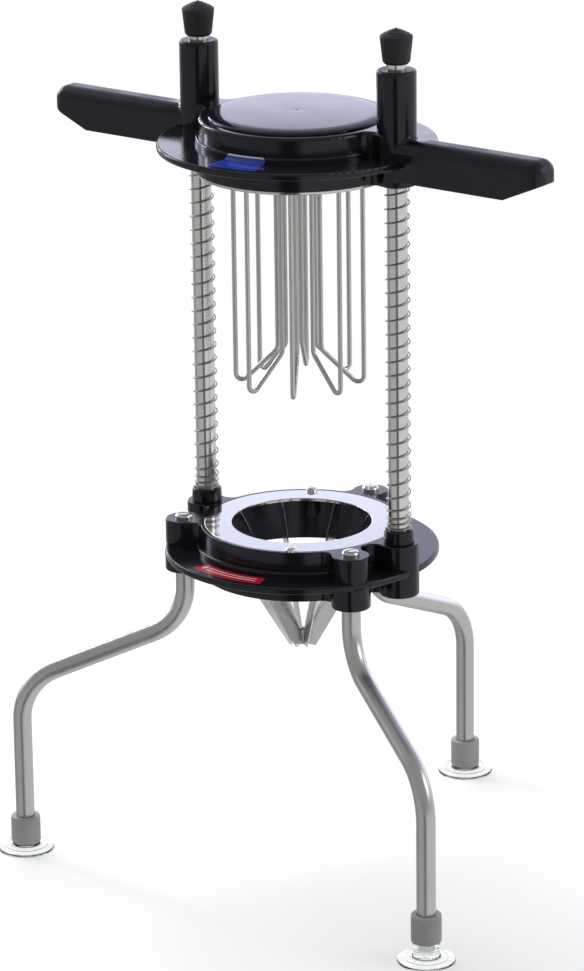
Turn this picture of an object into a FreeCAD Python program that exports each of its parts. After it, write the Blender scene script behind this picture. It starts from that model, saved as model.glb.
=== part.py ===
import FreeCAD, Part
import math
import os
from FreeCAD import Vector

# Hand press that drives a round fruit through a crown of eight blades.
# Millimetres, +Z up, floor at z = 0, press axis at x = y = 0 until the row shift at the end.

# Stand: three bent tube legs under a moulded ring
LEG_R = 6.6
LEG_WALL = 1.2
LEG_ANGLES = {"rear": 90.0, "left": 210.0, "right": 330.0}
PITCH_R = 83.0
FOOT_R = 202.2
LEG_KNEE_Z = 177.2
LEG_ANKLE_Z = 127.0
KNEE_BEND_R = 38.0
ANKLE_BEND_R = 42.0
LEG_TOP_Z = 246.6
LEG_END_Z = 9.0

# Suction feet and their grey sleeves
CUP_R = 20.0
CUP_NECK_R = 9.3
CUP_SHOULDER_Z = 5.2
CUP_NECK_TOP_Z = 22.0
SLEEVE_R = 10.5
SLEEVE_H = 19.8
SLEEVE_LIP = 3.0
SLEEVE_Z = {"rear": 5.6, "left": 5.6, "right": 14.4}

# Moulded ring of the stand
FLANGE_R = 96.0
FLANGE_T = 4.8
WALL_R = 71.0
BASE_BOTTOM_Z = 217.7
BOSS_BOTTOM_Z = 216.0
BASE_FLANGE_Z = 236.3
BASE_TOP_Z = 253.4
LEG_BOSS_R = 12.9
LEG_BOSS_FOOT_R = 13.6
COLUMN_BOSS_R = 14.0
BLEND_R = 7.0
LEDGE_W = 4.0
LEDGE_H = 4.2
RECESS_R = 68.3
OPENING_R = 58.0
CAVITY_R = 67.3
SEAT_T = 3.0

# Blade carrier
PLATE_R = 68.0
PLATE_BORE_R = 49.0
PLATE_T = 2.0
PLATE_SCREW_R = 66.5
PLATE_SCREW_ANGLES = (120.0, 300.0)
BLADES = 8
BLADE_FIRST_ANGLE = 7.5
BLADE_T = 0.8
BLADE_DROP = 25.0
BLADE_TOP_Z = 252.8
BLADE_ROOT_Z = 173.5
BLADE_FOOT_Z = 162.3
BLADE_BEVEL = 2.4
HUB_R = 2.0
EAR_R = 57.0

# Guide columns
TUBE_R = 7.0
COLUMN_WALL = 1.5
COLUMN_FOOT_Z = 226.0
COLUMN_TOP_Z = 608.0
COLLAR_R = 10.3
COLLAR_TOP_Z = 263.0
BUMPER_Z = {"left": 589.0, "right": 590.0}

# Return springs
SPRING_R = 8.25
SPRING_WIRE = 1.0
SPRING_PITCH = 9.75
SPRING_DEAD_COILS = 1.25
POINTS_PER_COIL = 8

# Pusher head: one moulding with hub, towers and handles
HEAD_BOTTOM_Z = 507.0
HEAD_FLANGE_Z = 526.3
HEAD_DECK_Z = 540.6
HEAD_RIM_Z = 543.6
HEAD_WALL_R = 70.5
HUB_WALL_R = 67.3
HUB_WEB_R = 80.0
HUB_EDGE_R = 2.4
HUB_LEDGE_R = 69.6
HUB_CAVITY_R = 63.8
HEAD_DECK_T = 3.6
HEAD_CAVITY_R = 66.5
RIM_R_IN = 59.2
TOWER_R = 13.5
TOWER_TOP_Z = 586.0
GUIDE_CLEARANCE = 0.05
HANDLE_END_X = 205.0
HANDLE_TOP_Z = 540.0
HANDLE_BOTTOM_Z = 511.5
HANDLE_SCARF_X = 175.5
HANDLE_TIP_Z = 524.5
HANDLE_HALF_W = 12.2
HANDLE_ROUND = 9.0
HANDLE_BLEND_R = 2.5

# Cap on the hub
CAP_R = 56.0
CAP_EDGE_Z = 545.6
CAP_CROWN_Z = 549.0
CAP_SPIGOT_R = 50.0

# Wire pushers under the head
DISC_R = 69.0
DISC_T = 2.0
DISC_SCREW_R = 59.0
DISC_SCREW_ANGLES = (60.0, 240.0)
WIRES = 8
WIRE_FIRST_ANGLE = 30.0
WIRE_R = 1.65
WIRE_OUT_R = 44.5
WIRE_IN_R = 15.0
WIRE_LOW_Z = 349.9
WIRE_SLOPE = 44.0
WIRE_OUT_BEND = 4.2
WIRE_IN_BEND = 8.0

# Screws: slotted pan heads
BIG_HEAD_R = 6.0
BIG_HEAD_H = 3.5
BIG_SHANK_R = 3.0
SMALL_HEAD_R = 4.0
SMALL_HEAD_H = 2.6
SMALL_SHANK_R = 2.0
SLOT_ANGLES = {"rear": 110.0, "left": 25.0, "right": 70.0}

# The stand reaches further back than forward, so the row's origin sits under the box's middle
ROW_SHIFT_Y = -(FOOT_R + CUP_R - (FOOT_R * math.sin(math.radians(30.0)) + CUP_R)) / 2.0

Z_AXIS = Vector(0, 0, 1)
ORIGIN = Vector(0, 0, 0)


def save(name, shape):
    shape = shape.copy()
    shape.translate(Vector(0, ROW_SHIFT_Y, 0))
    shape.exportStep("parts/%s.step" % name)


def polar(radius, degrees):
    angle = math.radians(degrees)
    return radius * math.cos(angle), radius * math.sin(angle)


def turned(shape, degrees):
    shape = shape.copy()
    shape.rotate(ORIGIN, Z_AXIS, degrees)
    return shape


def moved(shape, x, y, z=0.0):
    shape = shape.copy()
    shape.translate(Vector(x, y, z))
    return shape


def cylinder(radius, z0, z1, x=0.0, y=0.0):
    return Part.makeCylinder(radius, z1 - z0, Vector(x, y, z0))


def tube(r_in, r_out, z0, z1):
    return cylinder(r_out, z0, z1).cut(cylinder(r_in, z0 - 1, z1 + 1))


def revolved(edges):
    """Full turn of a closed outline drawn in the r-z half plane."""
    face = Part.Face(Part.Wire(Part.__sortEdges__(edges)))
    return face.revolve(ORIGIN, Z_AXIS, 360)


def lathe(points):
    """Full turn of a straight-sided outline of (r, z) points."""
    corners = [Vector(r, 0, z) for r, z in points]
    face = Part.Face(Part.makePolygon(corners + corners[:1]))
    return face.revolve(ORIGIN, Z_AXIS, 360)


def edges_at(shape, z):
    """Edges that lie flat at height z."""
    found = []
    for edge in shape.Edges:
        box = edge.BoundBox
        if abs(box.ZMin - z) < 0.01 and abs(box.ZMax - z) < 0.01:
            found.append(edge)
    return found


def bent_path(corners, bends):
    """Wire through corners in the x-z plane, each inner corner rounded by its bend radius."""
    points = [Vector(x, 0, z) for x, z in corners]
    edges = []
    start = points[0]
    for before, corner, after, radius in zip(points, points[1:], points[2:], bends):
        back = (before - corner).normalize()
        ahead = (after - corner).normalize()
        half = back.getAngle(ahead) / 2
        reach = radius / math.tan(half)
        bisector = (back + ahead).normalize()
        middle = corner + bisector * (radius / math.sin(half) - radius)
        enter = corner + back * reach
        leave = corner + ahead * reach
        edges.append(Part.LineSegment(start, enter).toShape())
        edges.append(Part.Arc(enter, middle, leave).toShape())
        start = leave
    edges.append(Part.LineSegment(start, points[-1]).toShape())
    return Part.Wire(edges)


def piped(path, radius):
    first = path.Edges[0]
    start = first.valueAt(first.FirstParameter)
    heading = first.tangentAt(first.FirstParameter)
    section = Part.Wire(Part.makeCircle(radius, start, heading))
    return path.makePipeShell([section], True, False)


def pan_screw(head_r, head_h, shank_r, length, slot_angle):
    """Head stands on z = 0, shank hangs below; the slot runs across the crown."""
    crown = head_h * 0.45
    edges = [
        Part.LineSegment(Vector(0, 0, -length), Vector(shank_r, 0, -length)).toShape(),
        Part.LineSegment(Vector(shank_r, 0, -length), Vector(shank_r, 0, 0)).toShape(),
        Part.LineSegment(Vector(shank_r, 0, 0), Vector(head_r, 0, 0)).toShape(),
        Part.LineSegment(Vector(head_r, 0, 0), Vector(head_r, 0, crown)).toShape(),
        Part.Arc(
            Vector(head_r, 0, crown),
            Vector(head_r * 0.8, 0, head_h * 0.86),
            Vector(head_r * 0.4, 0, head_h),
        ).toShape(),
        Part.LineSegment(Vector(head_r * 0.4, 0, head_h), Vector(0, 0, head_h)).toShape(),
        Part.LineSegment(Vector(0, 0, head_h), Vector(0, 0, -length)).toShape(),
    ]
    screw = revolved(edges)
    slot_w = head_r * 0.24
    slot = Part.makeBox(2.4 * head_r, slot_w, head_h, Vector(-1.2 * head_r, -slot_w / 2, head_h * 0.55))
    return screw.cut(turned(slot, slot_angle))


def upside_down(shape):
    shape = shape.copy()
    shape.rotate(ORIGIN, Vector(1, 0, 0), 180)
    return shape


def moulded_core(wall_r, bosses, z0, z1):
    """Round wall with bosses on it, blended into each other by concave fillets."""
    body = cylinder(wall_r, z0, z1)
    for x, y, radius in bosses:
        body = body.fuse(cylinder(radius, z0, z1, x, y))
    body = body.removeSplitter()
    creases = []
    for edge in body.Edges:
        box = edge.BoundBox
        upright = box.XLength < 0.01 and box.YLength < 0.01
        if upright and abs(math.hypot(box.XMin, box.YMin) - wall_r) < 0.01:
            creases.append(edge)
    return body.makeFillet(BLEND_R, creases)


def flange_with_ledge(ledge_r, flange_z):
    """Thin round flange with soft edges and the step at the wall's foot."""
    disc = cylinder(FLANGE_R, flange_z - FLANGE_T, flange_z)
    disc = disc.makeFillet(1.4, edges_at(disc, flange_z) + edges_at(disc, flange_z - FLANGE_T))
    ledge = cylinder(ledge_r, flange_z - 1.0, flange_z + LEDGE_H)
    ledge = ledge.makeFillet(1.6, edges_at(ledge, flange_z + LEDGE_H))
    return disc.fuse(ledge)


def boss_foot(x, y, radius):
    """Lower part of a boss, which stands a little proud of the wall's bottom edge."""
    if radius == LEG_BOSS_R:
        radius = LEG_BOSS_FOOT_R
    foot = cylinder(radius, BOSS_BOTTOM_Z, BASE_FLANGE_Z - FLANGE_T + 0.5, x, y)
    return foot.makeFillet(1.2, edges_at(foot, BOSS_BOTTOM_Z))


def base_ring():
    bosses = [(PITCH_R, 0.0, COLUMN_BOSS_R), (-PITCH_R, 0.0, COLUMN_BOSS_R)]
    for angle in LEG_ANGLES.values():
        x, y = polar(PITCH_R, angle)
        bosses.append((x, y, LEG_BOSS_R))
    body = moulded_core(WALL_R, bosses, BASE_BOTTOM_Z, BASE_TOP_Z)
    body = body.makeFillet(0.9, edges_at(body, BASE_TOP_Z))
    body = body.makeFillet(1.2, edges_at(body, BASE_BOTTOM_Z))
    body = body.fuse(flange_with_ledge(WALL_R + LEDGE_W, BASE_FLANGE_Z))
    for x, y, radius in bosses:
        body = body.fuse(boss_foot(x, y, radius))
    seat_z = BASE_TOP_Z - PLATE_T
    body = body.cut(cylinder(RECESS_R, seat_z, BASE_TOP_Z + 5))
    body = body.cut(cylinder(OPENING_R, seat_z - SEAT_T - 1, seat_z + 1))
    body = body.cut(cylinder(CAVITY_R, BASE_BOTTOM_Z - 5, seat_z - SEAT_T))
    for angle in PLATE_SCREW_ANGLES:
        x, y = polar(PLATE_SCREW_R - 2.0, angle)
        body = body.fuse(cylinder(5.0, BASE_FLANGE_Z, seat_z - 1.0, x, y))
        x, y = polar(PLATE_SCREW_R, angle)
        body = body.cut(cylinder(SMALL_SHANK_R, BASE_FLANGE_Z + 2.0, BASE_TOP_Z + 5, x, y))
    for angle in LEG_ANGLES.values():
        x, y = polar(PITCH_R, angle)
        body = body.cut(cylinder(LEG_R, BASE_BOTTOM_Z - 5, LEG_TOP_Z, x, y))
        body = body.cut(cylinder(BIG_SHANK_R + 0.2, LEG_TOP_Z - 1, BASE_TOP_Z + 5, x, y))
    for x in (-PITCH_R, PITCH_R):
        body = body.cut(cylinder(TUBE_R, COLUMN_FOOT_Z, BASE_TOP_Z + 5, x))
        body = body.cut(cylinder(BIG_SHANK_R + 0.2, BASE_BOTTOM_Z - 5, COLUMN_FOOT_Z + 1, x))
        head_z = BASE_BOTTOM_Z + BIG_HEAD_H + 0.5
        body = body.cut(cylinder(BIG_HEAD_R + 0.5, BASE_BOTTOM_Z - 5, head_z, x))
    return body.removeSplitter()


def leg():
    """Bent tube in the x-z plane, from inside its boss down to the suction foot."""
    corners = [
        (PITCH_R, LEG_TOP_Z),
        (PITCH_R, LEG_KNEE_Z),
        (FOOT_R, LEG_ANKLE_Z),
        (FOOT_R, LEG_END_Z),
    ]
    path = bent_path(corners, (KNEE_BEND_R, ANKLE_BEND_R))
    return piped(path, LEG_R).cut(piped(path, LEG_R - LEG_WALL))


def foot_cup():
    """Suction cup with a hollow underside and a socket for the tube end."""
    rim_r = CUP_R - 0.6
    lip_r = CUP_R - 1.6
    neck = [
        Vector(0, 0, LEG_END_Z),
        Vector(LEG_R, 0, LEG_END_Z),
        Vector(LEG_R, 0, CUP_NECK_TOP_Z),
        Vector(CUP_NECK_R, 0, CUP_NECK_TOP_Z),
        Vector(CUP_NECK_R, 0, CUP_SHOULDER_Z),
    ]
    rim = [
        Vector(15.0, 0, 2.6),
        Vector(rim_r, 0, 1.7),
        Vector(CUP_R, 0, 1.0),
        Vector(CUP_R, 0, 0),
        Vector(lip_r, 0, 0),
    ]
    roof = [Vector(4.0, 0, 3.0), Vector(0, 0, 3.0), Vector(0, 0, LEG_END_Z)]
    outline = []
    for corners in (neck, rim, roof):
        for start, end in zip(corners, corners[1:]):
            outline.append(Part.LineSegment(start, end).toShape())
    outline.append(Part.Arc(neck[-1], Vector(11.2, 0, 3.5), rim[0]).toShape())
    outline.append(Part.Arc(rim[-1], Vector(11.0, 0, 2.1), roof[0]).toShape())
    return revolved(outline)


def foot_sleeve(z):
    """Stiff sleeve, closed round the tube at its top lip, over the neck of the cup."""
    top = z + SLEEVE_H
    return lathe([
        (CUP_NECK_R + 0.1, z),
        (SLEEVE_R - 1.0, z),
        (SLEEVE_R, z + 1.0),
        (SLEEVE_R, top - 0.8),
        (SLEEVE_R - 0.8, top),
        (LEG_R, top),
        (LEG_R, top - SLEEVE_LIP),
        (CUP_NECK_R + 0.1, top - SLEEVE_LIP),
    ])


def tube_plug(z0, z1):
    """Threaded plug pressed into a tube end."""
    return tube(BIG_SHANK_R, LEG_R - LEG_WALL, z0, z1)


def blade_plate():
    top = BASE_TOP_Z
    plate = tube(PLATE_BORE_R, PLATE_R, top - PLATE_T, top)
    plate = plate.makeFillet(0.5, edges_at(plate, top))
    for angle in PLATE_SCREW_ANGLES:
        inner_x, inner_y = polar(PLATE_SCREW_R, angle)
        notch = cylinder(SMALL_SHANK_R + 0.3, top - PLATE_T - 1, top + 1, inner_x, inner_y)
        corner = Vector(PLATE_SCREW_R, -SMALL_SHANK_R - 0.3, top - 4)
        mouth = Part.makeBox(5, 2 * SMALL_SHANK_R + 0.6, 6, corner)
        plate = plate.cut(notch).cut(turned(mouth, angle))
    return plate


def wedge_blade():
    """Slanted strip with a ground upper edge and an ear that is welded under the plate."""
    reach = PLATE_BORE_R - 0.1 - HUB_R
    rise = BLADE_TOP_Z - BLADE_ROOT_Z
    length = math.hypot(reach, rise)
    along = Vector(reach / length, 0, rise / length)
    across = Vector(rise / length, 0, -reach / length)
    depth = BLADE_DROP * reach / length
    side = Vector(0, BLADE_T / 2, 0)
    edge = Vector(0, 0.06, 0)
    start = Vector(HUB_R, 0, BLADE_ROOT_Z) - along * 20
    section = [
        start + edge,
        start + across * BLADE_BEVEL + side,
        start + across * depth + side,
        start + across * depth - side,
        start + across * BLADE_BEVEL - side,
        start - edge,
    ]
    strip = Part.Face(Part.makePolygon(section + section[:1])).extrude(along * (length + 40))
    trim = Part.makeBox(reach, 4, BLADE_TOP_Z - BLADE_FOOT_Z, Vector(HUB_R, -2, BLADE_FOOT_Z))
    strip = strip.common(trim)
    seat_z = BASE_TOP_Z - PLATE_T
    ear = [
        (PLATE_BORE_R - 3.0, 238.0),
        (EAR_R - 4.0, 238.0),
        (EAR_R, 243.0),
        (EAR_R, seat_z),
        (PLATE_BORE_R - 3.0, seat_z),
    ]
    corners = [Vector(r, -BLADE_T / 2, z) for r, z in ear]
    tab = Part.Face(Part.makePolygon(corners + corners[:1])).extrude(Vector(0, BLADE_T, 0))
    below_bevel = Part.makeBox(20, 4, 40, Vector(PLATE_BORE_R - 0.4, -2, 220))
    return strip.fuse(tab.common(below_bevel)).removeSplitter()


def blade_hub():
    return lathe([
        (0, BLADE_FOOT_Z - 0.6),
        (HUB_R - 0.4, BLADE_FOOT_Z - 0.6),
        (HUB_R, BLADE_FOOT_Z),
        (HUB_R, BLADE_ROOT_Z - 1.0),
        (0, BLADE_ROOT_Z + 1.4),
    ])


def column():
    return tube(TUBE_R - COLUMN_WALL, TUBE_R, COLUMN_FOOT_Z, COLUMN_TOP_Z)


def collar():
    return lathe([
        (TUBE_R, BASE_TOP_Z),
        (COLLAR_R + 0.1, BASE_TOP_Z),
        (COLLAR_R + 0.3, BASE_TOP_Z + 0.6),
        (COLLAR_R, COLLAR_TOP_Z - 0.7),
        (COLLAR_R - 0.7, COLLAR_TOP_Z),
        (TUBE_R, COLLAR_TOP_Z),
    ])


def bumper():
    """Rubber ferrule over the column end, widest near its domed top."""
    outline = [
        (TUBE_R, 0.0),
        (8.0, 0.0),
        (9.3, 1.5),
        (11.1, 18.2),
        (10.9, 19.3),
        (9.2, 20.5),
        (8.9, 20.9),
        (6.6, 21.9),
        (6.3, 22.3),
        (3.6, 22.9),
        (1.5, 23.1),
        (1.3, 24.0),
        (0.0, 24.2),
        (0.0, COLUMN_TOP_Z - BUMPER_Z["left"]),
        (TUBE_R, COLUMN_TOP_Z - BUMPER_Z["left"]),
    ]
    return lathe(outline)


def spring():
    """Wire swept along a coil whose end turns are closed, drawn between its two seats."""
    low = COLLAR_TOP_Z + SPRING_WIRE / 2
    high = HEAD_BOTTOM_Z - SPRING_WIRE / 2
    dead = SPRING_WIRE * SPRING_DEAD_COILS
    active_coils = (high - low - 2 * dead) / SPRING_PITCH
    coils = active_coils + 2 * SPRING_DEAD_COILS
    count = int(round(coils * POINTS_PER_COIL))
    points = []
    for i in range(count + 1):
        turn = coils * i / count
        active = min(max(turn - SPRING_DEAD_COILS, 0.0), active_coils)
        z = low + SPRING_PITCH * active + SPRING_WIRE * (turn - active)
        x, y = polar(SPRING_R, 360.0 * turn)
        points.append(Vector(x, y, z))
    curve = Part.BSplineCurve()
    curve.interpolate(points)
    path = Part.Wire(curve.toShape())
    heading = curve.tangent(curve.FirstParameter)[0]
    outward = Vector(1, 0, 0)
    upward = outward.cross(heading).normalize()
    half = SPRING_WIRE / 2
    corners = [points[0] + outward * half, points[0] + upward * half]
    corners += [points[0] - outward * half, points[0] - upward * half]
    section = Part.makePolygon(corners + corners[:1])
    return path.makePipeShell([section], True, True)


def handle():
    """Grip bar with a rounded top and tip and a scarfed underside."""
    outline = [
        (PITCH_R, HANDLE_BOTTOM_Z),
        (HANDLE_SCARF_X, HANDLE_BOTTOM_Z),
        (HANDLE_END_X, HANDLE_TIP_Z),
        (HANDLE_END_X, HANDLE_TOP_Z),
        (PITCH_R, HANDLE_TOP_Z),
    ]
    corners = [Vector(x, -HANDLE_HALF_W, z) for x, z in outline]
    bar = Part.Face(Part.makePolygon(corners + corners[:1])).extrude(Vector(0, 2 * HANDLE_HALF_W, 0))
    soft = []
    for edge in bar.Edges:
        box = edge.BoundBox
        along_top = box.ZMin > HANDLE_TOP_Z - 0.01 and box.XMax > PITCH_R + 1
        up_tip = box.XMin > HANDLE_END_X - 0.01 and box.ZLength > 1
        if along_top or up_tip:
            soft.append(edge)
    bar = bar.makeFillet(HANDLE_ROUND, soft)
    under = []
    for edge in bar.Edges:
        box = edge.BoundBox
        if box.ZMax < HANDLE_TIP_Z + 0.5 and box.XMax > PITCH_R + 1:
            under.append(edge)
    return bar.makeFillet(1.2, under)


def arm(side):
    """Guide tower and its handle, run into each other by a small fillet."""
    tower = turned(cylinder(TOWER_R, HANDLE_BOTTOM_Z - 3.0, TOWER_TOP_Z), 180.0)
    tower = tower.makeFillet(2.0, edges_at(tower, TOWER_TOP_Z))
    joined = moved(tower, PITCH_R, 0).fuse(handle()).removeSplitter()
    crease = []
    for edge in edges_at(joined, HANDLE_TOP_Z):
        if edge.BoundBox.XMax < PITCH_R + TOWER_R + 0.01:
            crease.append(edge)
    joined = joined.makeFillet(HANDLE_BLEND_R, crease)
    return turned(joined, 0.0 if side > 0 else 180.0)


def pusher_head():
    bosses = [(PITCH_R, 0.0, TOWER_R), (-PITCH_R, 0.0, TOWER_R)]
    body = moulded_core(HEAD_WALL_R, bosses, HEAD_BOTTOM_Z, HEAD_FLANGE_Z - 1.0)
    body = body.makeFillet(1.2, edges_at(body, HEAD_BOTTOM_Z))
    body = body.fuse(flange_with_ledge(HUB_LEDGE_R, HEAD_FLANGE_Z))
    webs = [(HUB_WEB_R, 0.0, TOWER_R), (-HUB_WEB_R, 0.0, TOWER_R)]
    hub = moulded_core(HUB_WALL_R, webs, HEAD_FLANGE_Z - 2.0, HEAD_RIM_Z)
    body = body.fuse(hub.makeFillet(HUB_EDGE_R, edges_at(hub, HEAD_RIM_Z)))
    for side in (-1, 1):
        body = body.fuse(arm(side))
    body = body.cut(cylinder(RIM_R_IN, HEAD_DECK_Z, HEAD_RIM_Z + 1))
    body = body.cut(cylinder(CAP_SPIGOT_R, HEAD_BOTTOM_Z - 1, HEAD_RIM_Z + 1))
    body = body.cut(cylinder(HEAD_CAVITY_R, HEAD_BOTTOM_Z - 1, HEAD_FLANGE_Z - 2.0))
    body = body.cut(cylinder(HUB_CAVITY_R, HEAD_BOTTOM_Z - 1, HEAD_DECK_Z - HEAD_DECK_T))
    for angle in DISC_SCREW_ANGLES:
        x, y = polar(DISC_SCREW_R, angle)
        post = cylinder(4.5, HEAD_BOTTOM_Z, HEAD_DECK_Z - HEAD_DECK_T + 0.5, x, y)
        body = body.fuse(post).cut(cylinder(SMALL_SHANK_R, HEAD_BOTTOM_Z - 1, HEAD_BOTTOM_Z + 14, x, y))
    for x in (-PITCH_R, PITCH_R):
        bore = cylinder(TUBE_R + GUIDE_CLEARANCE, HEAD_BOTTOM_Z - 1, TOWER_TOP_Z + 1, x)
        body = body.cut(bore)
    return body.removeSplitter()


def head_cap():
    """Shallow domed cap with an undercut edge and a spigot that clips into the hub."""
    wall = 2.4
    rim_r = CAP_R - 1.0
    drop = CAP_CROWN_Z - CAP_EDGE_Z
    sphere_r = (rim_r ** 2 + drop ** 2) / (2 * drop)
    mid_z = CAP_CROWN_Z - sphere_r + math.sqrt(sphere_r ** 2 - (rim_r / 2) ** 2)
    inner_z = HEAD_DECK_Z + 1.0
    low_z = HEAD_DECK_Z - HEAD_DECK_T - 3.0
    corners = [
        (rim_r, CAP_EDGE_Z),
        (CAP_R, CAP_EDGE_Z - 1.0),
        (CAP_R, HEAD_DECK_Z + 1.4),
        (CAP_R - 2.0, HEAD_DECK_Z),
        (CAP_SPIGOT_R, HEAD_DECK_Z),
        (CAP_SPIGOT_R, low_z),
        (CAP_SPIGOT_R - wall, low_z),
        (CAP_SPIGOT_R - wall, inner_z),
        (0.0, CAP_CROWN_Z - wall),
        (0.0, CAP_CROWN_Z),
    ]
    edges = []
    for (r0, z0), (r1, z1) in zip(corners, corners[1:]):
        edges.append(Part.LineSegment(Vector(r0, 0, z0), Vector(r1, 0, z1)).toShape())
    crown = Part.Arc(Vector(0, 0, CAP_CROWN_Z), Vector(rim_r / 2, 0, mid_z), Vector(rim_r, 0, CAP_EDGE_Z))
    edges.append(crown.toShape())
    body = revolved(edges)
    return body.cut(cylinder(0.8, CAP_CROWN_Z - 0.5, CAP_CROWN_Z + 1))


def wire_foot(radius):
    """Height of the loop's slanted run at a radius, by its slope from the outer corner."""
    return WIRE_LOW_Z + (WIRE_OUT_R - radius) * math.tan(math.radians(WIRE_SLOPE))


def pusher_wire():
    corners = [
        (WIRE_OUT_R, HEAD_BOTTOM_Z),
        (WIRE_OUT_R, wire_foot(WIRE_OUT_R)),
        (WIRE_IN_R, wire_foot(WIRE_IN_R)),
        (WIRE_IN_R, HEAD_BOTTOM_Z),
    ]
    return piped(bent_path(corners, (WIRE_OUT_BEND, WIRE_IN_BEND)), WIRE_R)


def pusher_plate():
    plate = cylinder(DISC_R, HEAD_BOTTOM_Z - DISC_T, HEAD_BOTTOM_Z)
    plate = plate.makeFillet(0.5, edges_at(plate, HEAD_BOTTOM_Z - DISC_T))
    for i in range(WIRES):
        angle = WIRE_FIRST_ANGLE + 360.0 * i / WIRES
        for radius in (WIRE_IN_R, WIRE_OUT_R):
            x, y = polar(radius, angle)
            hole = cylinder(WIRE_R, HEAD_BOTTOM_Z - DISC_T - 1, HEAD_BOTTOM_Z + 1, x, y)
            plate = plate.cut(hole)
    for angle in DISC_SCREW_ANGLES:
        x, y = polar(DISC_SCREW_R, angle)
        hole = cylinder(SMALL_SHANK_R + 0.2, HEAD_BOTTOM_Z - DISC_T - 1, HEAD_BOTTOM_Z + 1, x, y)
        plate = plate.cut(hole)
    return plate


def save_stand():
    save("base_ring", base_ring())
    save("blade_plate", blade_plate())
    save("blade_hub", blade_hub())
    blade = wedge_blade()
    for i in range(BLADES):
        save("wedge_blade_%d" % (i + 1), turned(blade, BLADE_FIRST_ANGLE + 360.0 * i / BLADES))
    screws = []
    for angle in PLATE_SCREW_ANGLES:
        screw = pan_screw(SMALL_HEAD_R, SMALL_HEAD_H, SMALL_SHANK_R, 13.0, angle + 35.0)
        screws.append(moved(screw, *polar(PLATE_SCREW_R, angle), BASE_TOP_Z))
    save("blade_plate_screws", Part.makeCompound(screws))


def save_legs():
    straight = leg()
    cup = foot_cup()
    screws = []
    plugs = []
    for side, angle in LEG_ANGLES.items():
        save("%s_leg" % side, turned(straight, angle))
        x, y = polar(FOOT_R, angle)
        save("%s_foot_cup" % side, moved(cup, x, y))
        save("%s_foot_sleeve" % side, moved(foot_sleeve(SLEEVE_Z[side]), x, y))
        x, y = polar(PITCH_R, angle)
        screw = pan_screw(BIG_HEAD_R, BIG_HEAD_H, BIG_SHANK_R, 20.0, SLOT_ANGLES[side])
        screws.append(moved(screw, x, y, BASE_TOP_Z))
        plugs.append(moved(tube_plug(LEG_TOP_Z - 16.0, LEG_TOP_Z), x, y))
    save("leg_screws", Part.makeCompound(screws))
    save("leg_plugs", Part.makeCompound(plugs))


def save_columns():
    screws = []
    plugs = []
    for side, x in (("left", -PITCH_R), ("right", PITCH_R)):
        save("%s_column" % side, moved(column(), x, 0))
        save("%s_collar" % side, moved(collar(), x, 0))
        save("%s_spring" % side, moved(spring(), x, 0))
        save("%s_bumper" % side, moved(bumper(), x, 0, BUMPER_Z[side]))
        screw = upside_down(pan_screw(BIG_HEAD_R, BIG_HEAD_H, BIG_SHANK_R, 20.0, 40.0))
        screws.append(moved(screw, x, 0, BASE_BOTTOM_Z + BIG_HEAD_H + 0.5))
        plug = tube(BIG_SHANK_R, TUBE_R - COLUMN_WALL, COLUMN_FOOT_Z, COLUMN_FOOT_Z + 16.0)
        plugs.append(moved(plug, x, 0))
    save("column_screws", Part.makeCompound(screws))
    save("column_plugs", Part.makeCompound(plugs))


def save_pusher():
    save("pusher_head", pusher_head())
    save("head_cap", head_cap())
    save("pusher_plate", pusher_plate())
    loop = pusher_wire()
    for i in range(WIRES):
        save("pusher_wire_%d" % (i + 1), turned(loop, WIRE_FIRST_ANGLE + 360.0 * i / WIRES))
    screws = []
    for angle in DISC_SCREW_ANGLES:
        screw = upside_down(pan_screw(SMALL_HEAD_R, SMALL_HEAD_H, SMALL_SHANK_R, 15.0, angle))
        screws.append(moved(screw, *polar(DISC_SCREW_R, angle), HEAD_BOTTOM_Z - DISC_T))
    save("pusher_plate_screws", Part.makeCompound(screws))


os.makedirs("parts", exist_ok=True)
save_stand()
save_legs()
save_columns()
save_pusher()
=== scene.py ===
# %% [markdown]
# # A fruit wedger press
# The press stands on three bent steel tubes. A black moulded ring on top of them holds eight slanted
# blades. A second moulding slides down two columns and pushes the fruit through the blades with bent
# wires. The solid parts come from a CAD model, which fixes every size and every joint. This lesson gives
# each part its finish, and models again, for their looks, four kinds of part: the return springs, the
# rubber caps, the clear feet with their sleeves, and the lid.

# %% Load the frame
from math import cos, pi, radians, sin

import bmesh
import bpy
from mathutils import Matrix, Vector


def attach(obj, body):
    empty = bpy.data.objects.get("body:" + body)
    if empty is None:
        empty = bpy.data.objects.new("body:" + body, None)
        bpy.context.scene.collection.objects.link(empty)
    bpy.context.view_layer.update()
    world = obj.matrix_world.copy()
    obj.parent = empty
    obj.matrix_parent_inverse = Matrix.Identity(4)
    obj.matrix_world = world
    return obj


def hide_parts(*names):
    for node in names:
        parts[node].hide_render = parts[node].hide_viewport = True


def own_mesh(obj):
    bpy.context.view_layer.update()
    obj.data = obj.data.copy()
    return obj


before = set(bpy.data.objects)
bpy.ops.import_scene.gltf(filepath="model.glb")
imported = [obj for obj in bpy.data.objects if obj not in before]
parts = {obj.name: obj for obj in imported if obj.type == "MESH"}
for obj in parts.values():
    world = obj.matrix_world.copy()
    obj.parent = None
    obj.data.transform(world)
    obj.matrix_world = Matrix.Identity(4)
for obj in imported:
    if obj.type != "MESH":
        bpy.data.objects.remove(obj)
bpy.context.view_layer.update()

MM = 0.001
# Ring and head share one upright axis, and the columns stand to its left and right.
AXIS_Y = -0.05055
COLUMN_X = {"left": -0.083, "right": 0.083}

# %% [markdown]
# ## The camera
# A long lens flattens a product, so that its rings look like clean ellipses and its columns stay nearly
# parallel. The camera stands a little over three metres away, to the right of the press and about a metre
# above its ring. Its three directions go straight into the matrix, because that keeps the last fraction
# of a degree of roll, which aiming at a target loses.

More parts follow.
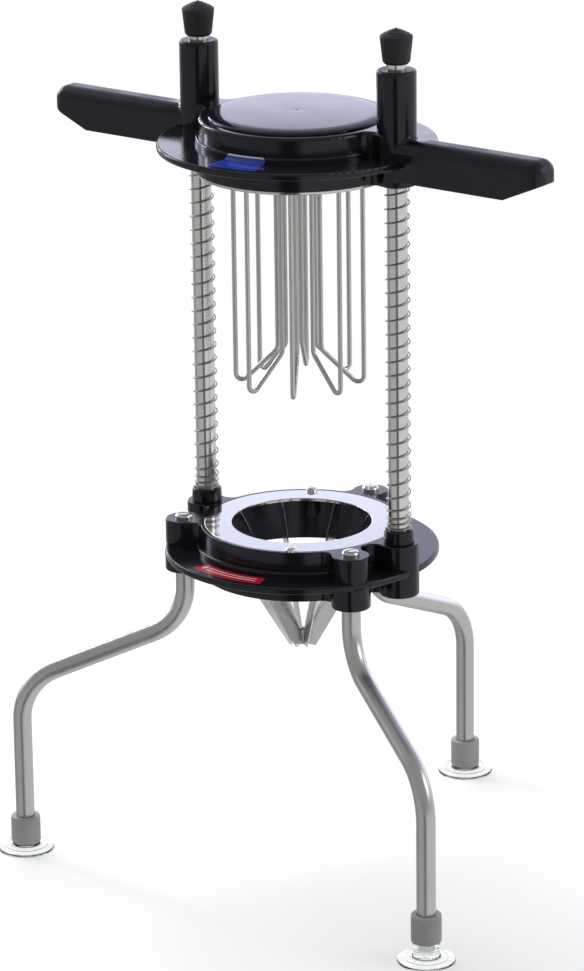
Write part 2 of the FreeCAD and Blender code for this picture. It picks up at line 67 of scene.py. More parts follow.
# %% Place the camera
EYE = Vector((1.8308, -2.53085, 1.2865))
TO_RIGHT = Vector((0.80562349, 0.59230233, -0.01219636))
TO_TOP = Vector((-0.17469331, 0.25718111, 0.95044207))
AHEAD = Vector((-0.56608572, 0.76356783, -0.31066239))
SENSOR_WIDTH = 36
FOCAL_LENGTH = 172.57
camera = bpy.data.objects.new("camera", bpy.data.cameras.new("camera"))
camera.data.sensor_width = SENSOR_WIDTH
camera.data.lens = FOCAL_LENGTH
facing = Matrix((TO_RIGHT, TO_TOP, -AHEAD)).transposed().to_4x4()
camera.matrix_world = Matrix.Translation(EYE) @ facing
bpy.context.scene.collection.objects.link(camera)
bpy.context.scene.camera = camera
print("camera", round(EYE.length, 2), "m from the middle of the floor")

# %% [markdown]
# ## A small helper for nodes
# Every material, and the studio itself, is a graph of nodes. Making a node, setting it and joining it up
# takes several lines, so one short function does all three. An input may be a plain value or another
# node's output socket.

# %% Nodes in one line
def add(tree, kind, inputs=None, **settings):
    """A new shader node of this kind, with its settings made and its inputs set or joined."""
    made = tree.nodes.new("ShaderNode" + kind)
    for name, value in settings.items():
        setattr(made, name, value)
    for name, value in (inputs or {}).items():
        if isinstance(value, bpy.types.NodeSocket):
            tree.links.new(value, made.inputs[name])
        else:
            made.inputs[name].default_value = value
    return made


def math(tree, operation, a, b=0.0):
    """Result of one sum on two numbers or sockets."""
    return add(tree, "Math", {0: a, 1: b}, operation=operation).outputs[0]


def remap(tree, value, low, high, to_low=0.0, to_high=1.0):
    """Value, brought softly from low..high to to_low..to_high and held there beyond the ends."""
    inputs = {"Value": value, "From Min": low, "From Max": high, "To Min": to_low, "To Max": to_high}
    return add(tree, "MapRange", inputs, interpolation_type="SMOOTHSTEP").outputs["Result"]


# %% [markdown]
# ## The studio
# Steel and glossy plastic show mostly what is around them. In a studio that is a ring of pale screens
# with dark gaps between them: each gap draws a thin dark line down a round tube. A brighter and cooler
# screen stands far behind the object and lays a sheen on its flat black tops. A narrow bright window
# beside that screen is what the left edges of the black mouldings pick up. The world holds all of these
# for reflections only. Diffuse light gets one plain level, and the camera sees plain white, also through
# the clear feet.

# %% The screens round the object
scene = bpy.context.scene
scene.view_settings.view_transform = "Standard"
studio = bpy.data.worlds.new("studio")
studio.use_nodes = True
scene.world = studio
sky = studio.node_tree
sky.nodes.clear()
TO_CAMERA = Vector((0.5955, -0.8033, 0))
SIDEWAYS = Vector((0.8057, 0.5924, 0))

way = add(sky, "TexCoord").outputs["Generated"]
height = add(sky, "SeparateXYZ", {0: way}).outputs["Z"]
level = add(sky, "VectorMath", {0: way, 1: (1, 1, 0)}, operation="MULTIPLY").outputs["Vector"]
level = add(sky, "VectorMath", {0: level}, operation="NORMALIZE").outputs["Vector"]


def towards(direction):
    """1 where a reflection runs level in this direction, falling to -1 opposite it."""
    return add(sky, "VectorMath", {0: level, 1: direction}, operation="DOT_PRODUCT").outputs["Value"]


def gap(degrees, half_width, depth):
    """A soft-edged upright band, so many degrees to the right of the camera, as strong as its depth."""
    turn = radians(degrees)
    middle = TO_CAMERA * cos(turn) + SIDEWAYS * sin(turn)
    inside = remap(sky, towards(middle), cos(radians(half_width * 1.5)), cos(radians(half_width * 0.7)))
    return math(sky, "MULTIPLY", inside, depth)


# %% How bright the screens look in a reflection
LEFT_SCREENS = 0.52
RIGHT_SCREENS = 0.78
# Each gap: its angle, half its width in degrees, and how much of the screens' light it takes away.
GAPS = ((-9, 10, 0.86), (-114, 14, 0.35), (180, 9, 0.4))
# The window: its angle, half its width in degrees, and how much light it adds.
WINDOW = (-158, 10, 3.5)
# The upper half has a plain level overhead, and the far screen, which is brightest low down.
OVERHEAD = 0.4
FAR_LOW = 2.15
FAR_MIDDLE = 0.85
FAR_HIGH_SHARE = 0.6

low_screens = remap(sky, towards(SIDEWAYS), -0.22, 0.1, LEFT_SCREENS, RIGHT_SCREENS)
for degrees, half_width, depth in GAPS:
    open_part = math(sky, "SUBTRACT", 1.0, gap(degrees, half_width, depth))
    low_screens = math(sky, "MULTIPLY", low_screens, open_part)
behind = remap(sky, towards(TO_CAMERA), -0.15, -0.75)
far_screen = remap(sky, height, 0.22, 0.38, FAR_LOW, FAR_MIDDLE)
far_screen = math(sky, "MULTIPLY", far_screen, remap(sky, height, 0.38, 0.9, 1.0, FAR_HIGH_SHARE))
high_screens = add(sky, "Mix", {"Factor": behind, "A": OVERHEAD, "B": far_screen}).outputs["Result"]
above = remap(sky, height, -0.04, 0.1)
screens = add(sky, "Mix", {"Factor": above, "A": low_screens, "B": high_screens}).outputs["Result"]
window = math(sky, "MULTIPLY", gap(*WINDOW), remap(sky, height, -0.06, 0.0))
window = math(sky, "MULTIPLY", window, remap(sky, height, 0.28, 0.18))
screens = math(sky, "ADD", screens, window)

# %% Tell reflections, plain light and the view apart
WARM_WHITE = (1.0, 0.99, 0.98, 1)
COOL_WHITE = (0.87, 0.9, 1.1, 1)
PLAIN_LIGHT = 0.4

cool = math(sky, "MULTIPLY", above, behind)
tint = add(sky, "Mix", {"Factor": cool, "A": WARM_WHITE, "B": COOL_WHITE}, data_type="RGBA")
ray = add(sky, "LightPath").outputs
reflected = add(sky, "Background", {"Color": tint.outputs["Result"], "Strength": screens}).outputs[0]
plain = add(sky, "Background", {"Color": (0.98, 0.99, 1.0, 1), "Strength": PLAIN_LIGHT}).outputs[0]
white = add(sky, "Background", {"Color": (1, 1, 1, 1), "Strength": 1.0}).outputs[0]
lit = add(sky, "MixShader", {0: ray["Is Glossy Ray"], 1: plain, 2: reflected}).outputs[0]
seen = math(sky, "MAXIMUM", ray["Is Camera Ray"], ray["Is Transmission Ray"])
shown = add(sky, "MixShader", {0: seen, 1: lit, 2: white}).outputs[0]
add(sky, "OutputWorld", {"Surface": shown})
print("world of", len(sky.nodes), "nodes")


# %% [markdown]
# Three soft lamps give the light its direction: a large one above and behind, a narrow one on the left,
# whose edge draws the bright line along every rounded rim, and a broad one on the right. Their size
# matters more than their power, because a big lamp makes a soft shadow. The one above would also mirror
# itself as a hard bright patch on the black tops, so reflections leave it out, and the far screen does
# that work.

# %% Three soft lamps
MIDDLE_OF_PRESS = Vector((0, -0.05, 0.35))


def softbox(name, angle, distance, rise, width, tall, power, colour=(1, 1, 1)):
    """A lamp at an angle to the right of the camera, turned to the middle of the press; sizes in metres."""
    turn = radians(angle)
    spot = TO_CAMERA * cos(turn) * distance + SIDEWAYS * sin(turn) * distance + Vector((0, 0, rise))
    lamp = bpy.data.objects.new(name, bpy.data.lights.new(name, "AREA"))
    lamp.data.shape = "RECTANGLE"
    lamp.data.size = width
    lamp.data.size_y = tall
    lamp.data.energy = power
    lamp.data.color = colour
    lamp.rotation_euler = (MIDDLE_OF_PRESS - spot).to_track_quat("-Z", "Y").to_euler()
    lamp.location = spot
    lamp.visible_camera = False
    scene.collection.objects.link(lamp)
    return lamp


lamp_above = softbox("lamp_above", -154, 1.3, 1.9, 1.3, 1.3, 36, (0.9, 0.94, 1.0))
lamp_above.visible_glossy = False
softbox("lamp_left", -130, 1.7, 1.15, 0.2, 0.8, 6)
softbox("lamp_right", 75, 1.8, 1.2, 1.0, 1.0, 8)
print("lamps:", [(lamp.name, lamp.energy) for lamp in bpy.data.lights])

# %% [markdown]
# The floor is a wide disc of white paper. Near the press it is lit as paper is, so it takes a soft
# shadow, and a little light of its own, which only the view gets, lifts it to white. Further out it fades
# into the white world, so no horizon shows. Reflections don't see it, because the screens go right down
# in the studio.

# %% The floor
FLOOR_R = 3.0
JUST_UNDER = -0.0004
FADE_FROM = 0.5
FADE_TO = 1.1
PAPER_GLOW = 0.45

floor_shape = bmesh.new()
bmesh.ops.create_circle(floor_shape, cap_ends=True, segments=96, radius=FLOOR_R)
bmesh.ops.translate(floor_shape, verts=floor_shape.verts, vec=(0, -0.05, JUST_UNDER))
floor = bpy.data.objects.new("floor", bpy.data.meshes.new("floor"))
floor_shape.to_mesh(floor.data)
floor_shape.free()
scene.collection.objects.link(floor)
paper = bpy.data.materials.new("white_paper")
paper.use_nodes = True
tree = paper.node_tree
tree.nodes.clear()
spot = add(tree, "TexCoord").outputs["Object"]
spread = add(tree, "VectorMath", {0: spot}, operation="LENGTH").outputs["Value"]
fade = remap(tree, spread, FADE_FROM, FADE_TO)
lit_paper = add(tree, "BsdfDiffuse", {"Color": (0.6, 0.6, 0.6, 1)}).outputs[0]
ray = add(tree, "LightPath").outputs
seen = math(tree, "MAXIMUM", ray["Is Camera Ray"], ray["Is Transmission Ray"])
fade = math(tree, "MAXIMUM", fade, ray["Is Glossy Ray"])
backdrop = add(tree, "Emission", {"Strength": math(tree, "MULTIPLY", seen, PAPER_GLOW)}).outputs[0]
surface = add(tree, "AddShader", {0: lit_paper, 1: backdrop}).outputs[0]
nothing = add(tree, "BsdfTransparent").outputs[0]
shown = add(tree, "MixShader", {0: fade, 1: surface, 2: nothing}).outputs[0]
add(tree, "OutputMaterial", {"Surface": shown})
floor.data.materials.append(paper)
print("floor", FLOOR_R, "m in radius")

# %% [markdown]
# ## Effects that several finishes share
# Three things turn a flat colour into a material: a skin that scatters light a little, a grain that runs
# one way on drawn or ground steel, and the marks of handling. Each is a node group with named inputs and
# outputs, built once and used with other values in each material. The groups only give numbers; the
# shader stays in the material.

# %% Three shared groups
def new_group(name, values, outputs):
    """An empty group that takes a place and named values, and the sockets to read and fill in it."""
    group = bpy.data.node_groups.new(name, "ShaderNodeTree")
    group.interface.new_socket("Vector", in_out="INPUT", socket_type="NodeSocketVector")
    for label, value in values.items():
        socket = group.interface.new_socket(label, in_out="INPUT", socket_type="NodeSocketFloat")
        socket.default_value = value
    for label in outputs:
        group.interface.new_socket(label, in_out="OUTPUT", socket_type="NodeSocketFloat")
    return group, group.nodes.new("NodeGroupInput").outputs, group.nodes.new("NodeGroupOutput").inputs


def noise(tree, vector, scale, detail, roughness=0.5):
    inputs = {"Vector": vector, "Scale": scale, "Detail": detail, "Roughness": roughness}
    return add(tree, "TexNoise", inputs).outputs["Fac"]


skin, given, result = new_group("moulded_skin", {"Pimples": 900.0, "Waves": 35.0}, ["Height", "Cloud"])
fine = noise(skin, given["Vector"], given["Pimples"], 1.0)
broad = noise(skin, given["Vector"], given["Waves"], 3.0)
skin.links.new(math(skin, "ADD", fine, math(skin, "MULTIPLY", broad, 0.6)), result["Height"])
skin.links.new(remap(skin, broad, 0.3, 0.7), result["Cloud"])

grain, given, result = new_group("drawn_grain", {"Across": 2200.0, "Along": 14.0}, ["Streak", "Mottle"])
stretch = add(grain, "CombineXYZ", {"X": given["Across"], "Y": given["Across"], "Z": given["Along"]})
lines = add(grain, "VectorMath", {0: given["Vector"], 1: stretch.outputs[0]}, operation="MULTIPLY")
lines = lines.outputs["Vector"]
grain.links.new(remap(grain, noise(grain, lines, 1.0, 3.0, 0.6), 0.3, 0.7), result["Streak"])
grain.links.new(remap(grain, noise(grain, given["Vector"], 55.0, 3.0), 0.35, 0.75), result["Mottle"])

marks, given, result = new_group("handling_marks", {"Amount": 0.5}, ["Scratch", "Smudge"])
tilted = {"Vector": given["Vector"], "Rotation": (0.4, 0.3, 0.7), "Scale": (1500, 45, 60)}
crossed = {"Vector": given["Vector"], "Rotation": (0.2, 0.9, 2.1), "Scale": (55, 1700, 40)}
one_way, other_way = [
    noise(marks, add(marks, "Mapping", lay).outputs[0], 1.0, 0.0) for lay in (tilted, crossed)
]
hairs = remap(marks, math(marks, "MAXIMUM", one_way, other_way), 0.74, 0.8)
patches = remap(marks, noise(marks, given["Vector"], 28.0, 4.0, 0.55), 0.5, 0.72)
marks.links.new(math(marks, "MULTIPLY", hairs, given["Amount"]), result["Scratch"])
marks.links.new(math(marks, "MULTIPLY", patches, given["Amount"]), result["Smudge"])
print("groups:", [group.name for group in bpy.data.node_groups])


# %% A blank material to build on
def blank(name, colour, roughness, metallic=0.0, **sockets):
    """A Principled material, its node tree, its shader and the place of each point on the piece."""
    material = bpy.data.materials.new(name)
    material.use_nodes = True
    material.diffuse_color = (*colour, 1)
    nodes = material.node_tree
    shader = nodes.nodes["Principled BSDF"]
    shader.inputs["Base Color"].default_value = (*colour, 1)
    shader.inputs["Roughness"].default_value = roughness
    shader.inputs["Metallic"].default_value = metallic
    for label, value in sockets.items():
        shader.inputs[label.replace("_", " ")].default_value = value
    return material, nodes, shader, add(nodes, "TexCoord").outputs["Object"]


def use_group(tree, group, **inputs):
    return add(tree, "Group", inputs, node_tree=group).outputs


def bump(tree, shader, height, strength, distance):
    made = add(tree, "Bump", {"Height": height, "Strength": strength, "Distance": distance})
    tree.links.new(made.outputs["Normal"], shader.inputs["Normal"])


def between(tree, factor, a, b):
    """A colour that changes from a to b as the factor goes from 0 to 1."""
    inputs = {"Factor": factor, "A": (*a, 1), "B": (*b, 1)}
    return add(tree, "Mix", inputs, data_type="RGBA").outputs["Result"]


def finish(names, material):
    """Gives the material to CAD parts, whose shapes stay as they are."""
    for name in names:
        for slot in parts[name].material_slots:
            slot.material = material
    print(material.name, "on", ", ".join(names))


# %% [markdown]
# ## Black moulding
# The ring and the sliding head are moulded in one glossy black plastic. Up close such a skin isn't a
# perfect mirror: it has shallow waves and tiny pimples, which break up each reflection, and it carries
# faint hairline scratches. The grips and the tops of the guide towers are duller than the rest, as the
# mould is there. One function makes the black of every moulded piece, each with its own gloss. On the
# head, masks made from a point's place find the grips and the tower tops, so the finish can change on one
# piece with no seam.

# %% Finish the two mouldings
DEEP_BLACK = (0.0072, 0.007, 0.0092)
SCRATCHED_BLACK = (0.03, 0.03, 0.036)
COOL_SHEEN = (0.8, 0.83, 1.0, 1)
# In metres: how far from the middle a grip leaves its tower, and how high a tower's top starts to round.
GRIP_STARTS = (0.1, 0.112)
TOP_STARTS = (0.582, 0.585)
DULLER = 0.25


def black_plastic(name, roughness, grips=False, level=0.45):
    """Black of this roughness; with grips, the head's own masks make grips and tower tops duller."""
    material, tree, shader, place = blank(
        name, DEEP_BLACK, roughness, Specular_IOR_Level=level, Specular_Tint=COOL_SHEEN
    )
    surface = use_group(tree, skin, Vector=place)
    worn = use_group(tree, marks, Vector=place, Amount=0.3)
    dull = remap(tree, surface["Cloud"], 0, 1, roughness - 0.03, roughness + 0.05)
    if grips:
        where = add(tree, "SeparateXYZ", {0: place}).outputs
        on_grip = remap(tree, math(tree, "ABSOLUTE", where["X"]), *GRIP_STARTS)
        on_top = remap(tree, where["Z"], *TOP_STARTS)
        either = math(tree, "MAXIMUM", on_grip, on_top)
        dull = math(tree, "ADD", dull, math(tree, "MULTIPLY", either, DULLER))
    dull = math(tree, "ADD", dull, math(tree, "MULTIPLY", worn["Smudge"], 0.06))
    tree.links.new(dull, shader.inputs["Roughness"])
    scratched = math(tree, "MULTIPLY", worn["Scratch"], 0.5)
    colour = between(tree, scratched, DEEP_BLACK, SCRATCHED_BLACK)
    tree.links.new(colour, shader.inputs["Base Color"])
    bump(tree, shader, surface["Height"], 0.12, 0.0002)
    return material


finish(["base_ring"], black_plastic("ring_moulding", 0.15))
finish(["pusher_head"], black_plastic("head_moulding", 0.12, grips=True))
finish(["left_collar", "right_collar"], black_plastic("collar_plastic", 0.16))


# %% [markdown]
# ## Steel, by how it was worked
# The press has bent leg tube, straight drawn columns, bent wire, ground blades, a polished ring plate and
# bright screws. All are metallic, and differ in how the surface was worked: a drawn column is satin with
# faint lines along it, and the plate is nearly a mirror with hairline scratches. A noise texture that is
# stretched along one axis gives the lines. A bent tube or a slanted blade has no one axis, so its noise
# is as fine one way as the other.

# %% Steel finishes
def steel(name, colour, roughness, across, along, streaks, scratches, dark=0.9, relief=0.05):
    """Steel whose grain is across and along fine; streaks and scratches say how much of each shows."""
    material, tree, shader, place = blank(name, colour, roughness, metallic=1.0)
    drawn = use_group(tree, grain, Vector=place, Across=across, Along=along)
    worn = use_group(tree, marks, Vector=place, Amount=scratches)
    rough = remap(tree, drawn["Streak"], 0, 1, roughness - streaks, roughness + streaks)
    rough = math(tree, "ADD", rough, math(tree, "MULTIPLY", worn["Smudge"], 0.1))
    tree.links.new(rough, shader.inputs["Roughness"])
    shade = math(tree, "MULTIPLY", drawn["Mottle"], 0.5)
    shade = math(tree, "ADD", shade, math(tree, "MULTIPLY", drawn["Streak"], 0.5))
    darker = tuple(dark * channel for channel in colour)
    tree.links.new(between(tree, shade, darker, colour), shader.inputs["Base Color"])
    height = math(tree, "SUBTRACT", drawn["Streak"], worn["Scratch"])
    bump(tree, shader, height, relief, 0.0001)
    return material


tube_steel = steel("leg_tube_steel", (0.60, 0.59, 0.585), 0.32, 420, 420, 0.03, 0.3, dark=0.94, relief=0.03)
column_steel = steel("column_steel", (0.74, 0.73, 0.715), 0.2, 2200, 10, 0.03, 0.2, dark=0.93, relief=0.03)
wire_steel = steel("bent_wire_steel", (0.62, 0.61, 0.60), 0.3, 1500, 30, 0.05, 0.2)
blade_steel = steel("blade_steel", (0.77, 0.77, 0.77), 0.17, 900, 900, 0.05, 0.6)
plate_steel = steel("polished_plate_steel", (0.64, 0.64, 0.64), 0.07, 300, 300, 0.02, 0.8, dark=0.95)
screw_steel = steel("screw_steel", (0.74, 0.73, 0.70), 0.18, 1200, 1200, 0.05, 0.6)

finish(["left_leg", "right_leg", "rear_leg"], tube_steel)
finish(["left_column", "right_column"], column_steel)
finish(["pusher_wire_%d" % n for n in range(1, 9)], wire_steel)
finish(["wedge_blade_%d" % n for n in range(1, 9)] + ["blade_hub"], blade_steel)
finish(["blade_plate", "pusher_plate"], plate_steel)
finish(["leg_screws", "blade_plate_screws", "pusher_plate_screws"], screw_steel)
finish(["column_screws", "leg_plugs", "column_plugs"], screw_steel)

# %% [markdown]
# ## Turned pieces
# The rubber caps, the sleeves, the suction feet and the lid on the head are all round. The quick way
# would be a cylinder with a bevel, but it can't have a groove or a lip. Spinning an outline round an axis
# can: the outline is a list of radius and height pairs, read off the real piece, and its corners get a
# small bevel afterwards.

# %% Spin an outline
SHARP_FROM = 38
BEVEL_FROM = 28


def make_piece(name, shape, sharp=SHARP_FROM):
    """An object from a finished bmesh, shaded smooth but for edges that turn by more than sharp degrees."""
    mesh = bpy.data.meshes.new(name)
    shape.to_mesh(mesh)
    shape.free()
    mesh.polygons.foreach_set("use_smooth", [True] * len(mesh.polygons))
    mesh.set_sharp_from_angle(angle=radians(sharp))
    piece = bpy.data.objects.new(name, mesh)
    scene.collection.objects.link(piece)
    return piece


def turned(name, outline, at, soft, steps=72, closed=False):
    """Full turn of (radius, height) points in mm, corners bevelled by soft mm; closed joins the ends."""
    shape = bmesh.new()
    points = [shape.verts.new((radius * MM, 0, height * MM)) for radius, height in outline]
    pairs = list(zip(points, points[1:])) + ([(points[-1], points[0])] if closed else [])
    lines = [shape.edges.new(pair) for pair in pairs]
    bmesh.ops.spin(
        shape, geom=points + lines, cent=(0, 0, 0), axis=(0, 0, 1), angle=2 * pi, steps=steps,
        use_merge=True,
    )
    bmesh.ops.remove_doubles(shape, verts=shape.verts, dist=1e-6)
    bmesh.ops.recalc_face_normals(shape, faces=shape.faces)
    rings = [e for e in shape.edges if e.is_manifold and e.calc_face_angle() > radians(BEVEL_FROM)]
    bmesh.ops.bevel(
        shape, geom=rings, offset=soft * MM, offset_type="OFFSET", segments=3, profile=0.5,
        affect="EDGES", material=-1, clamp_overlap=True,
    )
    bmesh.ops.translate(shape, verts=shape.verts, vec=at)
    return make_piece(name, shape)


# %% [markdown]
# ### Rubber caps on the columns
# Each column ends in a rubber ferrule, like the foot of a walking stick: narrow at its mouth, wider
# towards a domed end with moulded rings and a small nib. Rubber is nearly matt, a shade lighter than the
# glossy moulding, and its skin has a fine bloom that only shows as an uneven dullness.

# %% Rubber caps
def rubber():
    material, tree, shader, place = blank("cap_rubber", (0.016, 0.0155, 0.02), 0.62, Specular_IOR_Level=0.4)
    surface = use_group(tree, skin, Vector=place, Pimples=1600.0, Waves=90.0)
    tree.links.new(remap(tree, surface["Cloud"], 0, 1, 0.52, 0.72), shader.inputs["Roughness"])
    colour = between(tree, surface["Cloud"], (0.015, 0.0145, 0.019), (0.024, 0.023, 0.03))
    tree.links.new(colour, shader.inputs["Base Color"])
    bump(tree, shader, surface["Height"], 0.25, 0.0002)
    return material


# From the nib on the domed end, over the moulded rings and down to the mouth, then back inside.
cap_outline = [
    (0.0, 24.1), (0.7, 24.1), (1.0, 23.4), (2.6, 23.2), (3.6, 22.9), (3.9, 22.4), (5.2, 22.15),
    (6.3, 21.75), (6.7, 21.2), (8.1, 20.75), (9.2, 20.2), (9.7, 19.7), (10.8, 19.1), (11.15, 18.2),
    (10.9, 15.5), (9.35, 1.6), (8.0, 0.0), (7.0, 0.0), (7.0, 18.5), (0.0, 18.5),
]
CAP_FOOT = {"left": 0.589, "right": 0.590}
cap_rubber = rubber()
for side, x in COLUMN_X.items():
    piece = turned(side + "_rubber_cap", cap_outline, (x, AXIS_Y, CAP_FOOT[side]), soft=0.25)
    piece.data.materials.append(cap_rubber)
    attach(piece, "stand")
    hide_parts(side + "_bumper")
    print(piece.name, len(piece.data.polygons), "faces")


# %% [markdown]
# ### The lid on the head
# A shallow domed lid closes the hub. It is the most polished plastic on the press, so it is the least
# rough of the black pieces. In its middle are the small pit and the faint ring that the mould leaves. Its
# top turns down at the edge in a quarter of an ellipse, and the edge is undercut, which draws a dark line
# between lid and hub.

# %% The lid
LID_R = 60.5
LID_TOP = 547.2
DOME = 0.75
SHOULDER_R = 52.0
SHOULDER_DROP = 2.2
SHOULDER_STEPS = 12
PIT = 0.35


def lid_height(radius):
    """Height of the lid's top: a shallow dome, and from the shoulder on a quarter of an ellipse as well."""
    on_shoulder = max(0.0, radius - SHOULDER_R) / (LID_R - SHOULDER_R)
    return LID_TOP - DOME * (radius / SHOULDER_R) ** 2 - SHOULDER_DROP * (1 - (1 - on_shoulder ** 2) ** 0.5)


lid_outline = [(0.0, lid_height(0) - PIT), (0.5, lid_height(0) - PIT), (0.8, lid_height(0.8))]
lid_outline += [(3.4, lid_height(3.4)), (3.9, lid_height(3.9) - 0.03), (4.4, lid_height(4.4))]
lid_outline += [(r, lid_height(r)) for r in (8, 14, 20, 26, 32, 38, 44, 49, SHOULDER_R)]
for step in range(1, SHOULDER_STEPS + 1):
    radius = SHOULDER_R + (LID_R - SHOULDER_R) * sin(radians(90 * step / SHOULDER_STEPS))
    lid_outline.append((radius, lid_height(radius)))
lid_outline += [(LID_R, 543.75), (58.6, 543.75), (58.6, 542.0), (57.4, 540.6), (50.0, 540.6)]
lid_outline += [(50.0, 534.0), (47.6, 534.0), (47.6, 541.0), (0.0, 545.0)]
lid = turned("lid", lid_outline, (0, AXIS_Y, 0), soft=0.1, steps=128)
lid.data.materials.append(black_plastic("lid_plastic", 0.1, level=0.4))
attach(lid, "pusher")
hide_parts("head_cap")
print(lid.name, len(lid.data.polygons), "faces")


# %% [markdown]
# ### Feet
# Each tube stands in a clear suction cup, whose neck is held by a stiff grey sleeve; on one foot the
# sleeve has slid up the tube. Clear soft plastic is a glass with a low index and a slightly frosted
# surface. The cup is really thin, so its underside is modelled too; a solid lump would bend the light
# like a lens.

# %% Suction cups and sleeves
def clear_plastic():
    material, tree, shader, place = blank(
        "clear_cup_plastic", (0.93, 0.95, 0.95), 0.08, Transmission_Weight=1.0, IOR=1.38
    )
    surface = use_group(tree, skin, Vector=place, Pimples=700.0, Waves=120.0)
    tree.links.new(remap(tree, surface["Cloud"], 0, 1, 0.04, 0.14), shader.inputs["Roughness"])
    bump(tree, shader, surface["Height"], 0.1, 0.0002)
    return material


def grey_plastic():
    material, tree, shader, place = blank("grey_sleeve_plastic", (0.4, 0.4, 0.405), 0.5)
    surface = use_group(tree, skin, Vector=place, Pimples=1100.0, Waves=60.0)
    tree.links.new(remap(tree, surface["Cloud"], 0, 1, 0.42, 0.56), shader.inputs["Roughness"])
    colour = between(tree, surface["Cloud"], (0.37, 0.37, 0.375), (0.43, 0.43, 0.435))
    tree.links.new(colour, shader.inputs["Base Color"])
    bump(tree, shader, surface["Height"], 0.2, 0.0002)
    return material


# From inside the socket up over the neck, down and out to the thin rim, and back along the hollow.
cup_outline = [
    (6.65, 9.0), (6.65, 22.0), (9.3, 22.0), (9.3, 5.4), (9.9, 4.3), (11.4, 3.5), (14.0, 2.9),
    (14.3, 3.15), (15.0, 3.05), (15.2, 2.7), (18.9, 1.9), (19.6, 1.7), (20.0, 1.1), (20.0, 0.25),
    (19.7, 0.0), (18.6, 0.0), (15.0, 1.1), (11.0, 2.1), (7.0, 2.75), (4.0, 3.0), (0.0, 3.0), (0.0, 9.0),
]
FOOT_CIRCLE = 0.2022
FOOT_ANGLE = {"rear": 90, "left": 210, "right": 330}
SLEEVE_FOOT = {"rear": 5.6, "left": 5.6, "right": 14.4}
cup_plastic = clear_plastic()
sleeve_plastic = grey_plastic()
for side, degrees in FOOT_ANGLE.items():
    x = FOOT_CIRCLE * cos(radians(degrees))
    y = AXIS_Y + FOOT_CIRCLE * sin(radians(degrees))
    cup = turned(side + "_suction_cup", cup_outline, (x, y, 0), soft=0.15, closed=True)
    cup.data.materials.append(cup_plastic)
    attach(cup, "stand")
    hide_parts(side + "_foot_cup")
    foot = SLEEVE_FOOT[side]
    sleeve_outline = [
        (9.4, foot), (10.3, foot), (10.5, foot + 1.0), (10.5, foot + 19.0), (9.9, foot + 19.8),
        (6.65, foot + 19.8), (6.65, foot + 16.8), (9.4, foot + 16.8),
    ]
    sleeve = turned(side + "_sleeve", sleeve_outline, (x, y, 0), soft=0.35, closed=True)
    sleeve.data.materials.append(sleeve_plastic)
    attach(sleeve, "stand")
    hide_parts(side + "_foot_sleeve")
    print(cup.name, len(cup.data.polygons), "faces,", sleeve.name, len(sleeve.data.polygons), "faces")

# %% [markdown]
# ## Return springs
# A long spring of thin wire stands round each column. Its coils lie close on the collar, open over three
# turns, and then keep an even pitch to the top. A spin that also climbs is a screw, so a small circle of
# wire is spun with that climb, stage by stage. When the head comes down the spring gets shorter, and the
# wire then lies coil on coil.

# %% Wind the springs
WIRE = 1.0
COIL_R = 8.25
SPRING_LOW = 263.5
SPRING_HIGH = 506.5
PITCH = 9.75
STEPS_A_TURN = 30
WIRE_SHARP_FROM = 60


def wind(name, x, stages):
    """A coil of wire round the column at x; each stage is a number of turns and their pitch in mm."""
    shape = bmesh.new()
    ring = bmesh.ops.create_circle(shape, cap_ends=False, segments=8, radius=WIRE / 2 * MM)["verts"]
    bmesh.ops.rotate(shape, verts=ring, cent=(0, 0, 0), matrix=Matrix.Rotation(pi / 2, 3, "X"))
    bmesh.ops.translate(shape, verts=ring, vec=(COIL_R * MM, 0, SPRING_LOW * MM))
    tip = shape.verts[:] + shape.edges[:]
    for turns, pitch in stages:
        steps = round(turns * STEPS_A_TURN)
        climb = Vector((0, 0, pitch * turns / steps * MM))
        tip = bmesh.ops.spin(
            shape, geom=tip, cent=(0, 0, 0), axis=(0, 0, 1), dvec=climb, angle=2 * pi * turns,
            steps=steps,
        )["geom_last"]
    bmesh.ops.holes_fill(shape, edges=[e for e in shape.edges if e.is_boundary], sides=0)
    bmesh.ops.recalc_face_normals(shape, faces=shape.faces)
    bmesh.ops.translate(shape, verts=shape.verts, vec=(x, AXIS_Y, 0))
    return make_piece(name, shape, WIRE_SHARP_FROM)


closing = [(1.0, 1.0), (2.0, 4.1), (1.0, 6.4)]
top_end = [(0.5, 6.0), (1.0, 1.0)]
taken = sum(turns * pitch for turns, pitch in closing + top_end)
open_turns = (SPRING_HIGH - SPRING_LOW - taken) / PITCH
print("open turns", round(open_turns, 2))
spring_wire = steel("spring_wire_steel", (0.4, 0.39, 0.38), 0.34, 900, 900, 0.05, 0.2)
for side, x in COLUMN_X.items():
    spring = wind(side + "_coil", x, closing + [(open_turns, PITCH)] + top_end)
    spring.data.materials.append(spring_wire)
    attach(spring, "stand")
    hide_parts(side + "_spring")
    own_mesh(spring)
    print(spring.name, len(spring.data.polygons), "faces")

# %% [markdown]
# ## Stickers
# Two thin stickers lie on the mouldings: a red strip on the ring's flange, and a blue patch on the head,
# whose upper edge climbs the small step at the hub's foot. Both are plain, with a few pale bars. A
# sticker starts as a line of points across it, which a spin draws along the flange. Drawing each row in a
# little towards the two long edges rounds the corners, and a last step gives the film its thickness.

